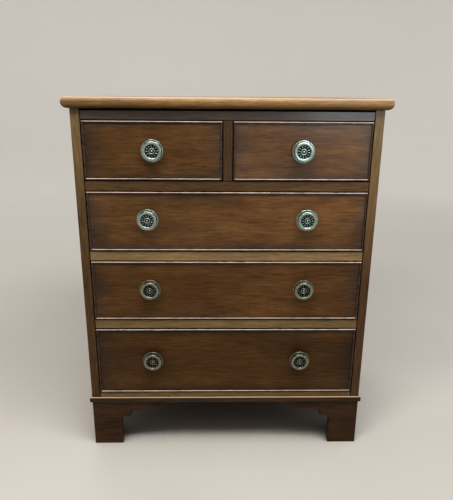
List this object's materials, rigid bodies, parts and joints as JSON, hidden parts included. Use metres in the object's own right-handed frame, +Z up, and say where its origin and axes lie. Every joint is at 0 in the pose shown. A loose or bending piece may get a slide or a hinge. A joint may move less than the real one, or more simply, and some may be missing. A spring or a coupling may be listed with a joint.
{
  "type": "bachelors chest",
  "caption": "Small upright mahogany chest: short drawers over graduated long drawers, cock-beaded fronts, round brass rosette knobs, rounded top and scrolled bracket feet.",
  "frame": {"origin": "on the floor, midway between the ends of the top and midway between the front of the knobs and the back boards", "axes": "+Z up, the drawer fronts face -Y, +X is to the right of someone who faces them"},
  "size_m": [0.646, 0.442, 0.793],
  "materials": {
    "mahogany_case": "polished",
    "mahogany_front": "polished",
    "mahogany_bead": "polished",
    "mahogany_feet": "polished",
    "oak": "bare, aged",
    "pine": "bare, aged",
    "brass": "aged, worn bright on the high spots",
    "steel": "dull"
  },
  "bodies": {
    "case": {"top_board": "mahogany_case", "left_side": "mahogany_case", "right_side": "mahogany_case", "back_boards": "pine", "bottom_board": "pine", "frieze_rail": "mahogany_case", "rear_top_rail": "pine", "muntin": "mahogany_case", "upper_rail": "mahogany_case", "middle_rail": "mahogany_case", "lower_rail": "mahogany_case", "bottom_rail": "mahogany_case", "runners": "pine", "centre_guide": "pine", "kickers": "pine", "drawer_stops": "pine", "base_moulding_front": "mahogany_case", "base_moulding_left": "mahogany_case", "base_moulding_right": "mahogany_case", "front_left_foot": "mahogany_feet", "front_right_foot": "mahogany_feet", "rear_left_foot": "mahogany_feet", "rear_right_foot": "mahogany_feet", "foot_blocks": "pine", "top_screws": "steel"},
    "left_short_drawer": {"left_short_drawer_front": "mahogany_front", "left_short_drawer_cock_bead": "mahogany_bead", "left_short_drawer_left_side": "oak", "left_short_drawer_right_side": "oak", "left_short_drawer_back": "oak", "left_short_drawer_bottom": "pine", "left_short_drawer_knobs": "brass"},
    "right_short_drawer": {"right_short_drawer_front": "mahogany_front", "right_short_drawer_cock_bead": "mahogany_bead", "right_short_drawer_left_side": "oak", "right_short_drawer_right_side": "oak", "right_short_drawer_back": "oak", "right_short_drawer_bottom": "pine", "right_short_drawer_knobs": "brass"},
    "upper_drawer": {"upper_drawer_front": "mahogany_front", "upper_drawer_cock_bead": "mahogany_bead", "upper_drawer_left_side": "oak", "upper_drawer_right_side": "oak", "upper_drawer_back": "oak", "upper_drawer_bottom": "pine", "upper_drawer_knobs": "brass"},
    "middle_drawer": {"middle_drawer_front": "mahogany_front", "middle_drawer_cock_bead": "mahogany_bead", "middle_drawer_left_side": "oak", "middle_drawer_right_side": "oak", "middle_drawer_back": "oak", "middle_drawer_bottom": "pine", "middle_drawer_knobs": "brass"},
    "lower_drawer": {"lower_drawer_front": "mahogany_front", "lower_drawer_cock_bead": "mahogany_bead", "lower_drawer_left_side": "oak", "lower_drawer_right_side": "oak", "lower_drawer_back": "oak", "lower_drawer_bottom": "pine", "lower_drawer_knobs": "brass"}
  },
  "joints": [
    {"name": "left_short_drawer_slide", "type": "slide", "parent": "case", "child": "left_short_drawer", "axis": [0, -1, 0], "range_m": [0, 0.28]},
    {"name": "right_short_drawer_slide", "type": "slide", "parent": "case", "child": "right_short_drawer", "axis": [0, -1, 0], "range_m": [0, 0.28]},
    {"name": "upper_drawer_slide", "type": "slide", "parent": "case", "child": "upper_drawer", "axis": [0, -1, 0], "range_m": [0, 0.28]},
    {"name": "middle_drawer_slide", "type": "slide", "parent": "case", "child": "middle_drawer", "axis": [0, -1, 0], "range_m": [0, 0.28]},
    {"name": "lower_drawer_slide", "type": "slide", "parent": "case", "child": "lower_drawer", "axis": [0, -1, 0], "range_m": [0, 0.28]}
  ]
}
